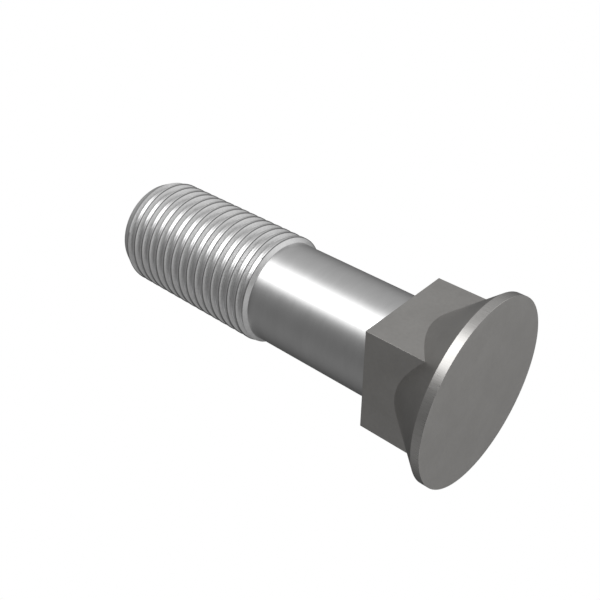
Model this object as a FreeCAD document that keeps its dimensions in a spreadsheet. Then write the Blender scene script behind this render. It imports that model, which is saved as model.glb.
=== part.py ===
import FreeCAD, Part
import os
import Sketcher
from FreeCAD import Vector

# Plow bolt, 5/8 inch by 2 1/4 inch, in millimetres.
# It is one forged piece: a flat round head over a cone, a square neck that the cone runs into,
# a reduced shank, and a right-hand thread at sixteen turns to the inch.
# The origin is the centre of the flat face of the head, and +Z runs along the axis to the tip.

doc = FreeCAD.newDocument("plow_bolt")

# Driving dimensions, each with the name that the expressions use

SIZES = [
    ("head_diameter", 25.25, "flat face of the head"),
    ("rim_height", 1.18, "straight rim between the face and the cone"),
    ("rim_bevel", 0.12, "broken edge on both sides of the rim"),
    ("cone_angle", 81.0, "included angle of the cone under the head, degrees"),
    ("neck_width", 14.8, "across the flats of the square neck"),
    ("neck_corner_radius", 0.3, "rounding of the four upright corners of the neck"),
    ("neck_end", 12.0, "head face to the back face of the neck"),
    ("shank_diameter", 14.32, "plain shank between the neck and the thread"),
    ("collar_start", 31.55, "head face to the foot of the first ridge of the thread"),
    ("thread_diameter", 15.8, "over the crests of the thread"),
    ("thread_pitch", 1.5875, "one turn, sixteen to the inch"),
    ("thread_angle", 60.0, "between the flanks of the groove, degrees"),
    ("crest_width", 0.24, "flat along each crest"),
    ("groove_depth", 0.80, "crest to the flat root of the groove"),
    ("runout_turn", 0.25, "share of a turn over which the groove's start runs out to the surface"),
    ("runout_rise", 1.25, "how far the run-out moves outwards, in groove depths"),
    ("crest_clearance", 0.4, "how far the groove's section stands out of the crest, in crest widths"),
    ("point_length", 1.85, "taper at the tip"),
    ("point_diameter", 14.0, "flat end of the tip"),
    ("bolt_length", 57.15, "head face to the flat end of the tip"),
    ("thread_lead_in", 133.0, "where the full groove starts, about the axis, degrees"),
]

sheet = doc.addObject("Spreadsheet::Sheet", "sizes")
sheet.Label = "Sizes"
for row, (name, value, meaning) in enumerate(SIZES, start=1):
    sheet.set(f"A{row}", name)
    sheet.set(f"B{row}", str(value))
    sheet.set(f"C{row}", meaning)
    sheet.setAlias(f"B{row}", name)
doc.recompute()


def origin_plane(body, role):
    return next(item for item in body.Origin.OriginFeatures if item.Role == role)


def new_sketch(body, name, role):
    sketch = body.newObject("Sketcher::SketchObject", name)
    sketch.AttachmentSupport = [(origin_plane(body, role), "")]
    sketch.MapMode = "FlatFace"
    return sketch


def draw_outline(sketch, corners):
    """Closes straight lines through corners, each given as two expressions, and pins them."""
    points = [Vector(sketch.evalExpression(x), sketch.evalExpression(y), 0) for x, y in corners]
    last = len(points) - 1
    for index, point in enumerate(points):
        following = points[0] if index == last else points[index + 1]
        sketch.addGeometry(Part.LineSegment(point, following), False)
    for index in range(len(points)):
        following = 0 if index == last else index + 1
        sketch.addConstraint(Sketcher.Constraint("Coincident", index, 2, following, 1))
    for index, (x, y) in enumerate(corners):
        for direction, expression, place, axis in (
            ("DistanceX", x, points[index].x, -2),
            ("DistanceY", y, points[index].y, -1),
        ):
            if expression == "0":
                sketch.addConstraint(Sketcher.Constraint("PointOnObject", index, 1, axis))
            else:
                pin = sketch.addConstraint(Sketcher.Constraint(direction, -1, 1, index, 1, place))
                sketch.setExpression(f"Constraints[{pin}]", expression)


def dress_edges(body, kind, name, setting, amount, chosen):
    """Rounds or bevels the edges of the body's last feature that chosen accepts."""
    doc.recompute()
    base = body.Tip
    edges = [f"Edge{n}" for n, edge in enumerate(base.Shape.Edges, start=1) if chosen(edge)]
    dressing = body.newObject(kind, name)
    dressing.Base = (base, edges)
    dressing.setExpression(setting, amount)


def is_upright(edge):
    """True for a straight edge along the axis of the bolt."""
    return isinstance(edge.Curve, Part.Line) and edge.Curve.Direction.cross(UP).Length < NEARLY_ZERO


def is_rim(edge):
    """True for a circle of the head's full diameter."""
    if not isinstance(edge.Curve, Part.Circle):
        return False
    return abs(2 * edge.Curve.Radius - sheet.head_diameter) < NEARLY_ZERO


UP = Vector(0, 0, 1)
NEARLY_ZERO = 1e-6


# Blank: the square neck with its four rounded corners, then everything that is round

blank = doc.addObject("PartDesign::Body", "blank")
blank.Label = "Bolt blank"

neck_square = new_sketch(blank, "neck_square", "XY_Plane")
neck_square.setExpression(".AttachmentOffset.Base.z", "sizes.rim_height")
half_neck = "sizes.neck_width / 2"
draw_outline(neck_square, [
    (f"-{half_neck}", f"-{half_neck}"),
    (half_neck, f"-{half_neck}"),
    (half_neck, half_neck),
    (f"-{half_neck}", half_neck),
])
neck = blank.newObject("PartDesign::Pad", "neck")
neck.Profile = neck_square
neck.setExpression("Length", "sizes.neck_end - sizes.rim_height")
dress_edges(
    blank, "PartDesign::Fillet", "neck_corners", "Radius", "sizes.neck_corner_radius", is_upright
)

head_radius = "sizes.head_diameter / 2"
shank_radius = "sizes.shank_diameter / 2"
crest_radius = "sizes.thread_diameter / 2"
point_radius = "sizes.point_diameter / 2"
flank = "tan(sizes.thread_angle / 2)"
cone_end = f"sizes.rim_height + ({head_radius} - {shank_radius}) / tan(sizes.cone_angle / 2)"
collar_crest = f"sizes.collar_start + ({crest_radius} - {shank_radius}) * {flank}"

bolt_profile = new_sketch(blank, "bolt_profile", "XZ_Plane")
draw_outline(bolt_profile, [
    ("0", "0"),
    (head_radius, "0"),
    (head_radius, "sizes.rim_height"),
    (shank_radius, cone_end),
    (shank_radius, "sizes.collar_start"),
    (crest_radius, collar_crest),
    (crest_radius, "sizes.bolt_length - sizes.point_length"),
    (point_radius, "sizes.bolt_length"),
    ("0", "sizes.bolt_length"),
])
turned = blank.newObject("PartDesign::Revolution", "turned_form")
turned.Profile = bolt_profile
turned.ReferenceAxis = (bolt_profile, ["V_Axis"])
dress_edges(blank, "PartDesign::Chamfer", "rim_bevels", "Size", "sizes.rim_bevel", is_rim)
doc.recompute()


# Groove of the thread: its section wound round the axis to past the tip. It starts with its
# middle level with the top of the collar, so that the collar grows into the first full ridge,
# and a quarter turn behind the start runs out to the surface

groove = doc.addObject("PartDesign::Body", "groove")
groove.Label = "Thread groove"

half_opening = "(sizes.thread_pitch - sizes.crest_width) / 2"
clearance = "sizes.crest_width * sizes.crest_clearance"
half_mouth = f"({half_opening} + {clearance} * {flank})"
half_root = f"({half_opening} - sizes.groove_depth * {flank})"

groove_section = new_sketch(groove, "groove_section", "XZ_Plane")
draw_outline(groove_section, [
    (f"{crest_radius} + {clearance}", f"{collar_crest} - {half_mouth}"),
    (f"{crest_radius} + {clearance}", f"{collar_crest} + {half_mouth}"),
    (f"{crest_radius} - sizes.groove_depth", f"{collar_crest} + {half_root}"),
    (f"{crest_radius} - sizes.groove_depth", f"{collar_crest} - {half_root}"),
])

winding = groove.newObject("PartDesign::AdditiveHelix", "winding")
winding.Profile = groove_section
winding.ReferenceAxis = (groove_section, ["V_Axis"])
winding.Mode = "pitch-height-angle"
winding.setExpression("Pitch", "sizes.thread_pitch")
winding.setExpression("Height", f"sizes.bolt_length - ({collar_crest}) + sizes.thread_pitch")
doc.recompute()

run_out = groove.newObject("PartDesign::AdditiveHelix", "run_out")
run_out.Profile = groove_section
run_out.ReferenceAxis = (groove_section, ["V_Axis"])
run_out.Mode = "height-turns-growth"
run_out.setExpression("Height", "sizes.thread_pitch * sizes.runout_turn")
run_out.setExpression("Turns", "sizes.runout_turn")
run_out.setExpression("Growth", "sizes.runout_rise * sizes.groove_depth / sizes.runout_turn")
run_out.Reversed = True
groove.setExpression(".Placement.Rotation.Angle", "sizes.thread_lead_in")


# The bolt: the blank without the groove

bolt = doc.addObject("Part::Cut", "plow_bolt")
bolt.Label = "plow_bolt"
bolt.Base = blank
bolt.Tool = groove
doc.recompute()


# Every object is checked before anything is written

for item in doc.Objects:
    if "Invalid" in item.State or "Error" in item.State:
        raise RuntimeError(f"{item.Name} failed: {item.State}")
if bolt.Shape.isNull() or not bolt.Shape.isValid() or len(bolt.Shape.Solids) != 1:
    raise RuntimeError("the bolt is not one valid solid")
if bolt.Shape.Volume >= blank.Shape.Volume:
    raise RuntimeError("the groove cuts nothing from the blank")

os.makedirs("parts", exist_ok=True)
bolt.Shape.Solids[0].exportStep(f"parts/{bolt.Label}.step")
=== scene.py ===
import math

import bmesh
import bpy
import numpy as np
from mathutils import Matrix, Vector


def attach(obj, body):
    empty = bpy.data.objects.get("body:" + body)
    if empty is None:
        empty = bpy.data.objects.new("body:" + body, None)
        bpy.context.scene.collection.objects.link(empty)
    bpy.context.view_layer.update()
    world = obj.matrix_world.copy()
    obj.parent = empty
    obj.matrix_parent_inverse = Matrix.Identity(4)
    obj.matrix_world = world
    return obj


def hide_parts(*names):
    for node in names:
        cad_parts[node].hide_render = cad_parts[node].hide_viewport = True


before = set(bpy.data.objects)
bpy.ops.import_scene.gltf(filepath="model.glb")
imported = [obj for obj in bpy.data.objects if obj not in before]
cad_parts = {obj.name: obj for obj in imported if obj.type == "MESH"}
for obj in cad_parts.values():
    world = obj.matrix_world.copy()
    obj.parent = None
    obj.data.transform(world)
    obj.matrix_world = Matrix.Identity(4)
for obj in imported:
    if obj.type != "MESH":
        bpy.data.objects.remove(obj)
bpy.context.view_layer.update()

# The flat round head of the plow bolt, the first part of one piece of carbon steel. It is
# forged hot, and its rim is trimmed to a true circle. The bolt stands on the head's face.
# Its skin is rings round the axis, each a radius and a height in millimetres for every line.

MM = 0.001
HEAD_RADIUS = 12.622
RIM_HEIGHT = 1.18
RIM_EDGE = 0.02
ROUND_MIDDLE = 0.3  # how far the middle of a rounded edge lies inside its corner, in radii
NECK_HALF_WIDTH = 7.4
NECK_CORNER = 0.02
THREAD_START = 133.0  # degrees round the axis
LINE_GAP = 1.5  # degrees


def lengthwise_lines():
    """The angles round the axis of the lines that the skin follows, evenly apart, with two more
    at each corner of the neck. The first is just past the start of the thread."""
    tangent = 45 - math.degrees(math.atan((NECK_HALF_WIDTH - NECK_CORNER) / NECK_HALF_WIDTH))
    angles = []
    for step in range(round(360 / LINE_GAP)):
        angle = step * LINE_GAP
        angles.append(angle)
        if angle % 90 == 45:
            angles += [angle - tangent, angle + tangent]
    return THREAD_START + np.sort((np.array(angles) - THREAD_START) % 360)


angles = lengthwise_lines()
level = np.ones(len(angles))
rings = []
for radius, height in (
    (4.0, 0),
    (8.0, 0),
    (11.0, 0),
    (12.3, 0),
    (HEAD_RADIUS - 3 * RIM_EDGE, 0),
    (HEAD_RADIUS - RIM_EDGE, 0),
    (HEAD_RADIUS - ROUND_MIDDLE * RIM_EDGE, ROUND_MIDDLE * RIM_EDGE),
    (HEAD_RADIUS, RIM_EDGE),
    (HEAD_RADIUS, 2.5 * RIM_EDGE),
    (HEAD_RADIUS, 0.5 * RIM_HEIGHT),
    (HEAD_RADIUS, RIM_HEIGHT - 2 * RIM_EDGE),
    (HEAD_RADIUS, RIM_HEIGHT - 0.6 * RIM_EDGE),
    (HEAD_RADIUS - 0.4 * RIM_EDGE, RIM_HEIGHT),
):
    rings.append((radius * level, height * level))

NOISE_LOW = 0.3
NOISE_HIGH = 0.7
SHARE_OF_FINER_MARKS = 0.6
finishes = []


def add_node(tree, kind, settings, inputs):
    """Adds a node. An input that is another node's socket is joined, and a value is set."""
    node = tree.nodes.new(kind)
    for name, value in settings.items():
        setattr(node, name, value)
    for name, value in inputs.items():
        if isinstance(value, bpy.types.NodeSocket):
            tree.links.new(value, node.inputs[name])
        else:
            node.inputs[name].default_value = value
    return node


def bare_steel(name):
    """A steel finish with no pattern yet, and the place on the bolt in millimetres."""
    finish = bpy.data.materials.new(name)
    finish.use_nodes = True
    finishes.append(finish)
    tree = finish.node_tree
    tree.nodes["Principled BSDF"].inputs["Metallic"].default_value = 1.0
    bolt_place = tree.nodes.new("ShaderNodeTexCoord").outputs["Object"]
    place = add_node(tree, "ShaderNodeVectorMath", {"operation": "SCALE"}, {
        0: bolt_place, "Scale": 1 / MM})
    return tree, place.outputs[0]


def spread(tree, value, start, end, low, high):
    """Goes from low to high as the value goes from start to end, and no further."""
    return add_node(tree, "ShaderNodeMapRange", {}, {
        0: value, 1: start, 2: end, 3: low, 4: high}).outputs[0]


def grain(tree, place, per_mm, detail):
    """Marks on the steel, that many to the millimetre in each direction, from 0 to 1."""
    drawn = add_node(tree, "ShaderNodeVectorMath", {"operation": "MULTIPLY"}, {0: place, 1: per_mm})
    noise = add_node(tree, "ShaderNodeTexNoise", {}, {
        "Vector": drawn.outputs[0], "Scale": 1.0, "Detail": detail, "Roughness": SHARE_OF_FINER_MARKS})
    return spread(tree, noise.outputs[0], NOISE_LOW, NOISE_HIGH, 0.0, 1.0)


def shade(tree, share, low, high):
    """A colour that goes from low to high as the share goes from 0 to 1."""
    mix = add_node(tree, "ShaderNodeMix", {"data_type": "RGBA"}, {0: share})
    for socket, colour in ((mix.inputs[6], low), (mix.inputs[7], high)):
        if isinstance(colour, bpy.types.NodeSocket):
            tree.links.new(colour, socket)
        else:
            socket.default_value = (*colour, 1)
    return mix.outputs[2]


def dress(tree, colour, marks, smooth, rough, depth):
    """Gives the steel its colour, and marks of that depth in millimetres, which go from smooth
    to rough."""
    shader = tree.nodes["Principled BSDF"]
    tree.links.new(colour, shader.inputs["Base Color"])
    tree.links.new(spread(tree, marks, 0.0, 1.0, smooth, rough), shader.inputs["Roughness"])
    bump = add_node(tree, "ShaderNodeBump", {}, {
        "Height": marks, "Strength": 1.0, "Distance": depth * MM})
    tree.links.new(bump.outputs[0], shader.inputs["Normal"])


# The skin that the forging die leaves on the head, the cone and the neck after tumbling, a
# warm dull grey with a fine even grain and faint broad clouds.

FORGED_DARK = (0.430, 0.420, 0.405)
FORGED_PALE = (0.470, 0.460, 0.445)
DARKER_FLECK = (0.96, 0.96, 0.96)
PALER_FLECK = (1.04, 1.04, 1.04)

tree, place = bare_steel("forged_satin")
fine = grain(tree, place, per_mm=(2.2, 2.2, 2.2), detail=4.0)
clouds = grain(tree, place, per_mm=(0.22, 0.22, 0.22), detail=2.0)
clouded = shade(tree, clouds, FORGED_DARK, FORGED_PALE)
flecks = shade(tree, fine, DARKER_FLECK, PALER_FLECK)
colour = add_node(tree, "ShaderNodeVectorMath", {"operation": "MULTIPLY"}, {0: clouded, 1: flecks})
dress(tree, colour.outputs[0], fine, smooth=0.29, rough=0.35, depth=0.0015)

# The trimmed rim of the head, brighter than the face, with fine marks across it where the
# trimming die has drawn over the steel.

RIM_DARK = (0.53, 0.52, 0.505)
RIM_PALE = (0.60, 0.59, 0.575)

tree, place = bare_steel("trimmed_rim")
drawn = grain(tree, place, per_mm=(8.0, 8.0, 0.8), detail=2.0)
colour = shade(tree, drawn, RIM_DARK, RIM_PALE)
dress(tree, colour, drawn, smooth=0.27, rough=0.31, depth=0.0008)


# The cone under the head and the square neck that it runs into, forged in the same blow. The
# neck keeps the bolt from turning in its hole, and has sharp corners from the die.

CONE_SLOPE = math.tan(math.radians(40.5))
NECK_END = 12.0
NECK_EDGE = 0.03
BESIDE_EDGE = 0.15  # rings at these two distances keep an edge crisp
CLOSE_TO_EDGE = 0.03


def cone_radius(heights):
    """The radius of the cone at each height."""
    return HEAD_RADIUS - (heights - RIM_HEIGHT) * CONE_SLOPE


def square_neck_radius(angles):
    """How far the square neck reaches from the axis, with its four corners rounded."""
    off_flat = np.radians((angles + 45) % 90 - 45)
    flat = NECK_HALF_WIDTH / np.cos(off_flat)
    centre = NECK_HALF_WIDTH - NECK_CORNER
    along = centre * (np.cos(off_flat) + np.abs(np.sin(off_flat)))
    corner = along + np.sqrt(np.maximum(along * along - 2 * centre * centre + NECK_CORNER ** 2, 0))
    on_corner = NECK_HALF_WIDTH * np.abs(np.tan(off_flat)) > centre
    return np.where(on_corner, corner, flat)


neck = square_neck_radius(angles)
meeting = RIM_HEIGHT + (HEAD_RADIUS - neck) / CONE_SLOPE
cone_start = RIM_HEIGHT + 2 * RIM_EDGE
cone_end = meeting - 2 * BESIDE_EDGE
for share in (0, 0.05, 0.2, 0.4, 0.6, 0.8, 0.95):
    heights = cone_start + share * (cone_end - cone_start)
    rings.append((cone_radius(heights), heights))
for before in (BESIDE_EDGE, CLOSE_TO_EDGE, 0):
    rings.append((cone_radius(meeting - before), meeting - before))
neck_start = meeting + CLOSE_TO_EDGE
for share in (0, 0.03, 0.3, 0.6, 0.85, 1):
    rings.append((neck, neck_start + share * (NECK_END - BESIDE_EDGE - neck_start)))
rings += [
    (neck, (NECK_END - NECK_EDGE) * level),
    (neck - ROUND_MIDDLE * NECK_EDGE, (NECK_END - ROUND_MIDDLE * NECK_EDGE) * level),
    (neck - NECK_EDGE, NECK_END * level),
    (neck - BESIDE_EDGE, NECK_END * level),
]


# The plain shank, turned down behind the neck, with a small fillet where the two join. It is
# clean neutral grey steel with faint marks round it from the tool.

SHANK_RADIUS = 7.16
SHANK_FILLET = 0.06
COLLAR_FOOT = 31.55
BESIDE_FOOT = 0.12
CLOSE_TO_FOOT = 0.04
FOOT_ROUNDING = 0.012

fillet_edge = SHANK_RADIUS + SHANK_FILLET
for share in (0.9, 0.6, 0.3, 0):
    rings.append((fillet_edge + share * (neck - BESIDE_EDGE - fillet_edge), NECK_END * level))
for radius, height in (
    (SHANK_RADIUS + ROUND_MIDDLE * SHANK_FILLET, NECK_END + ROUND_MIDDLE * SHANK_FILLET),
    (SHANK_RADIUS, NECK_END + SHANK_FILLET),
    (SHANK_RADIUS, NECK_END + BESIDE_EDGE),
    (SHANK_RADIUS, 14.0),
    (SHANK_RADIUS, 17.0),
    (SHANK_RADIUS, 20.0),
    (SHANK_RADIUS, 23.0),
    (SHANK_RADIUS, 26.0),
    (SHANK_RADIUS, 29.0),
    (SHANK_RADIUS, 31.0),
    (SHANK_RADIUS, COLLAR_FOOT - BESIDE_FOOT),
    (SHANK_RADIUS, COLLAR_FOOT - CLOSE_TO_FOOT),
    (SHANK_RADIUS + FOOT_ROUNDING, COLLAR_FOOT),
):
    rings.append((radius * level, height * level))

SHANK_DARK = (0.600, 0.600, 0.600)
SHANK_PALE = (0.640, 0.640, 0.640)
DARKER_MARK = (0.985, 0.985, 0.985)
PALER_MARK = (1.015, 1.015, 1.015)

tree, place = bare_steel("turned_shank")
round_marks = grain(tree, place, per_mm=(0.6, 0.6, 3.0), detail=2.0)
clouds = grain(tree, place, per_mm=(0.15, 0.15, 0.5), detail=2.0)
clouded = shade(tree, clouds, SHANK_DARK, SHANK_PALE)
marked = shade(tree, round_marks, DARKER_MARK, PALER_MARK)
colour = add_node(tree, "ShaderNodeVectorMath", {"operation": "MULTIPLY"}, {0: clouded, 1: marked})
dress(tree, colour.outputs[0], round_marks, smooth=0.28, rough=0.32, depth=0.001)


# The right-hand thread, sixteen turns to the inch, rolled between dies, from its collar to the
# tapered tip. Its rows follow the helix, so after one time round each row meets the row a turn
# above it.

COLLAR_TOP = 31.977
CREST_RADIUS = 7.9
ROOT_RADIUS = 7.29
ROOT_HALF_WIDTH = 0.29
ROOT_ROUNDING = 0.08
CREST_ROUNDING = 0.05
TAPER_ROUNDING = 0.04
PITCH = 1.5875
FLANK_SLOPE = math.tan(math.radians(60))
RUNOUT_ANGLE = 90.0  # degrees behind its start in which the groove rises by RUNOUT_RISE
RUNOUT_RISE = 0.85
TAPER_START = 55.3
TAPER_SLOPE = 0.9 / 1.85
BOLT_LENGTH = 57.15
PAST_EDGE = 0.1  # how far the rounding at the collar's top and the taper's start reaches
FIRST_COLLAR_RING = 0.03
COLLAR_RINGS = 15
ROWS_OFF_MIDDLE = [0.23, 0.29, 0.35, 0.57, 0.618, 0.642, 0.666, 0.71]  # each way
GROOVES = range(-2, 17)  # from below the top of the collar to past the tip


def larger(a, b, rounding):
    """The larger of two radii, with the corner between them filled to a small fillet."""
    near = np.maximum(rounding - np.abs(a - b), 0) / rounding
    return np.maximum(a, b) + near * near * rounding / 4


def smaller(a, b, rounding):
    """The smaller of two radii, with the corner between them rounded off."""
    return -larger(-a, -b, rounding)


def thread_radius(heights, angles):
    """The radius of the threaded end at each height and angle."""
    turn = (angles - THREAD_START) / 360
    groove = np.round((heights - COLLAR_TOP) / PITCH - turn)
    middle = COLLAR_TOP + (groove + turn) * PITCH
    before_start = np.maximum(-(groove + turn) * 360, 0)
    root = ROOT_RADIUS + RUNOUT_RISE * before_start / RUNOUT_ANGLE
    flank = root + (np.abs(heights - middle) - ROOT_HALF_WIDTH) * FLANK_SLOPE
    radius = smaller(larger(root, flank, ROOT_ROUNDING), CREST_RADIUS, CREST_ROUNDING)
    collar = SHANK_RADIUS + np.maximum(heights - COLLAR_FOOT, 0) * FLANK_SLOPE
    collared = smaller(radius, collar, CREST_ROUNDING)
    radius = np.where(heights < COLLAR_TOP + PAST_EDGE, collared, radius)
    taper = CREST_RADIUS - np.maximum(heights - TAPER_START, 0) * TAPER_SLOPE
    tapered = smaller(radius, taper, TAPER_ROUNDING)
    return np.where(heights > TAPER_START - PAST_EDGE, tapered, radius)


for height in np.linspace(COLLAR_FOOT + FIRST_COLLAR_RING, COLLAR_TOP, COLLAR_RINGS):
    rings.append((thread_radius(height * level, angles), height * level))
across_groove = np.concatenate([-np.array(ROWS_OFF_MIDDLE[::-1]), ROWS_OFF_MIDDLE])
rows_per_turn = len(across_groove)
first_thread_row = len(rings)
for groove in GROOVES:
    for off_middle in across_groove:
        heights = COLLAR_TOP + (groove + (angles - THREAD_START) / 360) * PITCH + off_middle
        heights = np.clip(heights, COLLAR_TOP, BOLT_LENGTH)
        rings.append((thread_radius(heights, angles), heights))
last_thread_row = len(rings) - 1

# The dies leave the roots, flanks and crests bright and close-grained. A dark line of painted shade
# runs along each edge of the crest, where the steel turns from the crest to the flank.

THREAD_DARK = (0.73, 0.73, 0.73)
THREAD_PALE = (0.84, 0.84, 0.84)
# the colour of the painted shade along the crest's edges
CREST_EDGE_SHADE = (0.22, 0.22, 0.22)
SHADE_STARTS = CREST_RADIUS - 0.15
FULLY_SHADED = CREST_RADIUS - 0.08
LEAN_OF_CREST = 0.10  # how far the steel faces along the axis, from 0 to 1
LEAN_OF_EDGE = 0.45


def off_axis(tree, place):
    """How far a place on the bolt is from its axis, in millimetres."""
    flat_place = add_node(tree, "ShaderNodeVectorMath", {"operation": "MULTIPLY"}, {
        0: place, 1: (1.0, 1.0, 0.0)})
    length = add_node(tree, "ShaderNodeVectorMath", {"operation": "LENGTH"}, {
        0: flat_place.outputs[0]})
    return length.outputs["Value"]


tree, place = bare_steel("rolled_thread")
near_crest = spread(tree, off_axis(tree, place), SHADE_STARTS, FULLY_SHADED, 0.0, 1.0)
outwards = tree.nodes.new("ShaderNodeTexCoord").outputs["Normal"]
facing = add_node(tree, "ShaderNodeSeparateXYZ", {}, {0: outwards})
lean = add_node(tree, "ShaderNodeMath", {"operation": "ABSOLUTE"}, {0: facing.outputs["Z"]})
off_top = spread(tree, lean.outputs[0], LEAN_OF_CREST, LEAN_OF_EDGE, 0.0, 1.0)
# painted shade: steel near the crest that leans along the axis, at the crest's edges, is darkened
painted_shade = add_node(tree, "ShaderNodeMath", {"operation": "MULTIPLY"}, {0: near_crest, 1: off_top})
pressed = grain(tree, place, per_mm=(2.4, 2.4, 3.2), detail=4.0)
bright = shade(tree, pressed, THREAD_DARK, THREAD_PALE)
colour = shade(tree, painted_shade.outputs[0], bright, CREST_EDGE_SHADE)
dress(tree, colour, pressed, smooth=0.29, rough=0.34, depth=0.0025)


# The flat end of the tip, cut off square. The tool leaves it bright but rough, with fine
# rings round its middle.

tip = thread_radius(BOLT_LENGTH * level, angles)
for share in (0.985, 0.9, 0.6, 0.3):
    rings.append((tip * share, BOLT_LENGTH * level))

TIP_DARK = (0.76, 0.76, 0.76)
TIP_PALE = (0.86, 0.86, 0.86)

tree, place = bare_steel("cut_tip")
from_axis = add_node(tree, "ShaderNodeCombineXYZ", {}, {"X": off_axis(tree, place)})
tool_rings = grain(tree, from_axis.outputs[0], per_mm=(5.0, 5.0, 5.0), detail=3.0)
colour = shade(tree, tool_rings, TIP_DARK, TIP_PALE)
dress(tree, colour, tool_rings, smooth=0.42, rough=0.50, depth=0.004)


# The whole bolt. Its skin is closed over the rings, from the middle of the head's face to the
# middle of the tip. Corners stay crisp and everything that is round stays smooth.

WELD = 0.002
SLIVER = 0.0005
NEARLY = 0.001
CRISP_ON_HEAD = 15  # degrees that the steel turns at an edge that stays crisp
CRISP_ON_THREAD = 40

east, north = np.cos(np.radians(angles)), np.sin(np.radians(angles))
points = []
for radius, height in rings:
    points.append(np.stack([radius * east, radius * north, height], axis=1))
points.append(np.array([[0, 0, 0], [0, 0, BOLT_LENGTH]]))
points = np.concatenate(points) * MM
around = len(angles)
faces = []
for ring in range(len(rings) - 1):
    for line in range(around):
        near = ring * around + line
        if line < around - 1:
            faces.append((near, near + 1, near + around + 1, near + around))
            continue
        lower, upper = ring, ring + 1
        if first_thread_row <= ring < last_thread_row:
            lower = min(ring + rows_per_turn, last_thread_row)
            upper = min(ring + 1 + rows_per_turn, last_thread_row)
        faces.append((near, lower * around, upper * around, near + around))
last_ring = (len(rings) - 1) * around
for line in range(around):
    after = (line + 1) % around
    faces.append((len(points) - 2, after, line))
    faces.append((len(points) - 1, last_ring + line, last_ring + after))

skin = bpy.data.meshes.new("plow_bolt_steel")
skin.from_pydata(points.tolist(), [], faces)
for finish in finishes:
    skin.materials.append(finish)
FORGED, TRIMMED, TURNED, ROLLED, CUT = range(len(finishes))
form = bmesh.new()
form.from_mesh(skin)
bmesh.ops.remove_doubles(form, verts=form.verts, dist=WELD * MM)
bmesh.ops.dissolve_degenerate(form, edges=form.edges, dist=SLIVER * MM)
bmesh.ops.recalc_face_normals(form, faces=form.faces)
for face in form.faces:
    face.smooth = True
    middle = face.calc_center_median() / MM
    if middle.z > BOLT_LENGTH - NEARLY:
        face.material_index = CUT
    elif middle.z > COLLAR_FOOT:
        face.material_index = ROLLED
    elif middle.z > NECK_END + NEARLY:
        face.material_index = TURNED
    elif NEARLY < middle.z < RIM_HEIGHT:
        face.material_index = TRIMMED
    else:
        face.material_index = FORGED
for edge in form.edges:
    on_head_or_neck = edge.verts[0].co.z < (NECK_END + NEARLY) * MM
    crisp = CRISP_ON_HEAD if on_head_or_neck else CRISP_ON_THREAD
    edge.smooth = math.degrees(edge.calc_face_angle(0)) < crisp
form.to_mesh(skin)
form.free()

bolt = bpy.data.objects.new("plow_bolt_steel", skin)
bpy.context.scene.collection.objects.link(bolt)
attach(bolt, "root")
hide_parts("plow_bolt")


# The floor. A wide pale sheet of matt board that the bolt stands on, fading out into the
# white of the studio. It is one-sided, so the camera sees the bolt from below through it.

HALF_FLOOR = 600 * MM
BELOW_HEAD = 0.02 * MM
BOARD_COLOUR = (0.9, 0.9, 0.9, 1)
BOARD_GLOW = 0.47
FADE_START = 30 * MM
FADE_END = 220 * MM
WHITE = (1, 1, 1, 1)

floor_mesh = bpy.data.meshes.new("studio_floor")
floor_mesh.from_pydata(
    [(-HALF_FLOOR, -HALF_FLOOR, 0), (HALF_FLOOR, -HALF_FLOOR, 0),
     (HALF_FLOOR, HALF_FLOOR, 0), (-HALF_FLOOR, HALF_FLOOR, 0)], [], [(0, 1, 2, 3)])
floor = bpy.data.objects.new("studio_floor", floor_mesh)
floor.location.z = -BELOW_HEAD
bpy.context.scene.collection.objects.link(floor)
board = bpy.data.materials.new("pale_board")
board.use_nodes = True
board.cycles.emission_sampling = "NONE"
tree = board.node_tree
tree.nodes.clear()
matt = add_node(tree, "ShaderNodeBsdfDiffuse", {}, {"Color": BOARD_COLOUR})
glow = add_node(tree, "ShaderNodeEmission", {}, {"Color": WHITE, "Strength": BOARD_GLOW})
pale = add_node(tree, "ShaderNodeAddShader", {}, {0: matt.outputs[0], 1: glow.outputs[0]})
clear = add_node(tree, "ShaderNodeBsdfTransparent", {}, {})
here = add_node(tree, "ShaderNodeTexCoord", {}, {})
from_bolt = add_node(tree, "ShaderNodeVectorMath", {"operation": "LENGTH"}, {
    0: here.outputs["Object"]})
far_off = add_node(tree, "ShaderNodeMapRange", {"interpolation_type": "SMOOTHSTEP"}, {
    0: from_bolt.outputs["Value"], 1: FADE_START, 2: FADE_END, 3: 0.0, 4: 1.0})
side = add_node(tree, "ShaderNodeNewGeometry", {}, {})
unseen = add_node(tree, "ShaderNodeMath", {"operation": "MAXIMUM"}, {
    0: far_off.outputs[0], 1: side.outputs["Backfacing"]})
fading = add_node(tree, "ShaderNodeMixShader", {}, {
    0: unseen.outputs[0], 1: pale.outputs[0], 2: clear.outputs[0]})
add_node(tree, "ShaderNodeOutputMaterial", {}, {"Surface": fading.outputs[0]})
floor_mesh.materials.append(board)
floor.visible_diffuse = False
floor.visible_glossy = False
floor.visible_shadow = False


# The studio. White all round for the camera, and for the steel eleven soft lamps, from small
# to very broad. Each lamp is its degrees round from +X and up, how tight its glow is, and how
# strong it is.

LAMPS = [
    (-36.4, 31.3, 70, 2.77),
    (-18.3, 33.6, 41, 2.53),
    (-6.7, 23.8, 59, 1.23),
    (-3, 34, 2.5, 0.66),
    (-46, -76, 5, 0.69),
    (85, -48, 4.7, 0.81),
    (164, -42, 6, 0.34),
    (66, 35, 6.5, 0.23),
    (-138, 26, 3.5, 0.21),
    (55, -8, 34, 0.9),
    (-142, -10, 34, 0.6),
]

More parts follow.
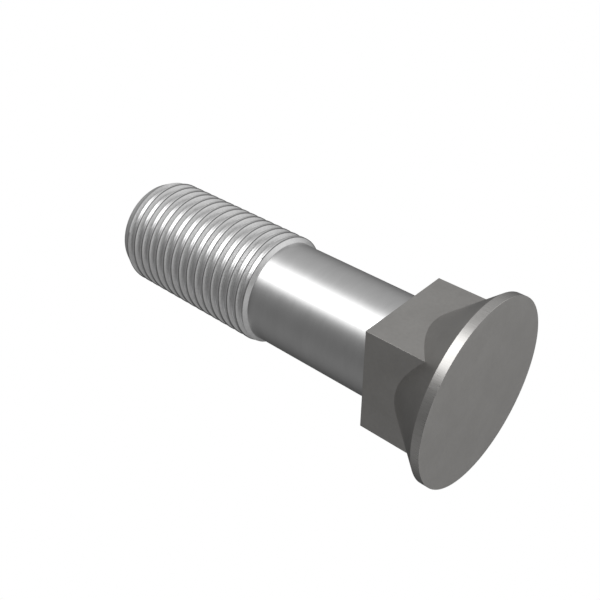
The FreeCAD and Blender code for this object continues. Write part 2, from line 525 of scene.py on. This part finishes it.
world = bpy.data.worlds.new("studio")
bpy.context.scene.world = world
world.use_nodes = True
tree = world.node_tree
tree.nodes.clear()
outwards = tree.nodes.new("ShaderNodeTexCoord").outputs["Generated"]
total = 0.0
for azimuth, elevation, tightness, strength in LAMPS:
    turn, rise = math.radians(azimuth), math.radians(elevation)
    towards = (math.cos(turn) * math.cos(rise), math.sin(turn) * math.cos(rise), math.sin(rise))
    facing = add_node(tree, "ShaderNodeVectorMath", {"operation": "DOT_PRODUCT"}, {
        0: outwards, 1: towards})
    falloff = add_node(tree, "ShaderNodeMath", {"operation": "MULTIPLY_ADD"}, {
        0: facing.outputs["Value"], 1: tightness, 2: -tightness})
    lobe = add_node(tree, "ShaderNodeMath", {"operation": "EXPONENT"}, {0: falloff.outputs[0]})
    total = add_node(tree, "ShaderNodeMath", {"operation": "MULTIPLY_ADD"}, {
        0: lobe.outputs[0], 1: strength, 2: total}).outputs[0]
lamp_light = add_node(tree, "ShaderNodeBackground", {}, {"Color": WHITE, "Strength": total})
white = add_node(tree, "ShaderNodeBackground", {}, {"Color": WHITE, "Strength": 1.0})
seen = add_node(tree, "ShaderNodeLightPath", {}, {})
choose = add_node(tree, "ShaderNodeMixShader", {}, {
    0: seen.outputs["Is Camera Ray"], 1: lamp_light.outputs[0], 2: white.outputs[0]})
add_node(tree, "ShaderNodeOutputWorld", {}, {"Surface": choose.outputs[0]})
bpy.context.scene.view_settings.view_transform = "Standard"


# The camera. It looks at the middle of the bolt from the head's side, a little below the
# plane of the head, with one flat of the neck uppermost in the picture.

CAMERA_PLACE = (68.23, -72.25, -35.36)
LINE_OF_SIGHT = (-0.5772, 0.6111, 0.5416)
UP_IN_PICTURE = (0.8166, 0.4281, 0.3872)
FOCAL_LENGTH = 52.41
SENSOR_WIDTH = 36
NEAREST_SEEN = 5 * MM

lens = bpy.data.cameras.new("camera")
lens.lens = FOCAL_LENGTH
lens.sensor_width = SENSOR_WIDTH
lens.clip_start = NEAREST_SEEN
camera = bpy.data.objects.new("camera", lens)
bpy.context.scene.collection.objects.link(camera)
ahead = Vector(LINE_OF_SIGHT).normalized()
right = ahead.cross(Vector(UP_IN_PICTURE)).normalized()
above = right.cross(ahead)
turned = Matrix((right, above, -ahead)).transposed().to_4x4()
camera.matrix_world = Matrix.Translation(Vector(CAMERA_PLACE) * MM) @ turned
bpy.context.scene.camera = camera
